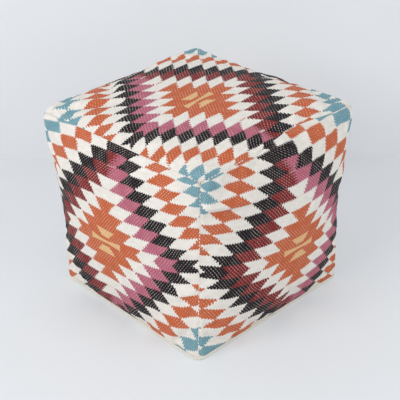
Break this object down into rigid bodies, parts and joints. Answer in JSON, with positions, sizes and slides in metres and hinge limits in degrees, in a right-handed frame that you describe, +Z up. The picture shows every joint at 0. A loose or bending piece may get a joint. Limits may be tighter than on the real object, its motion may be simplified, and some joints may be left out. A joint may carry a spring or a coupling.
{
  "type": "kilim pouf",
  "caption": "Cube floor pouf: flat-woven kilim panels with stepped diamonds sewn to a canvas base, zipped underneath, around a bag of beads.",
  "frame": {"origin": "middle of the base, on the floor", "axes": "+Z up, -Y towards the front panel, +X towards the right panel and along the zip"},
  "size_m": [0.4123, 0.4121, 0.3674],
  "materials": {
    "kilim": "weft-faced flat weave of wool on cotton",
    "canvas": "plain unbleached cotton canvas",
    "thread": "twisted cotton thread",
    "zip_tape": "woven polyester tape",
    "zip_teeth": "moulded plastic",
    "zip_metal": "painted die-cast zinc",
    "liner": "thin white polyester cloth",
    "beads": "loose expanded polystyrene beads"
  },
  "bodies": {
    "cover": {"top_panel": "kilim", "front_panel": "kilim", "right_panel": "kilim", "back_panel": "kilim", "left_panel": "kilim", "base_panel_front": "canvas", "base_panel_back": "canvas", "top_seam_thread": "thread", "front_right_corner_thread": "thread", "back_right_corner_thread": "thread", "back_left_corner_thread": "thread", "front_left_corner_thread": "thread", "base_seam_thread": "thread", "base_centre_thread": "thread", "zip_stitching_front": "thread", "zip_stitching_back": "thread", "zip_tape_front": "zip_tape", "zip_tape_back": "zip_tape", "zip_teeth_front": "zip_teeth", "zip_teeth_back": "zip_teeth", "zip_top_stops": "zip_metal", "zip_base_stop": "zip_metal", "liner_top": "liner", "liner_wall": "liner", "liner_base": "liner", "bead_fill": "beads"},
    "slider": {"zip_slider": "zip_metal"},
    "pull": {"zip_pull": "zip_metal"}
  },
  "joints": [
    {"name": "zip_slide", "type": "slide", "parent": "cover", "child": "slider", "axis": [1, 0, 0], "range_m": [0, 0.255]},
    {"name": "zip_pull_swing", "type": "hinge", "parent": "slider", "child": "pull", "pos_m": [-0.1345, 0, 0.0054], "axis": [0, 1, 0], "range_deg": [-6, 160]}
  ]
}
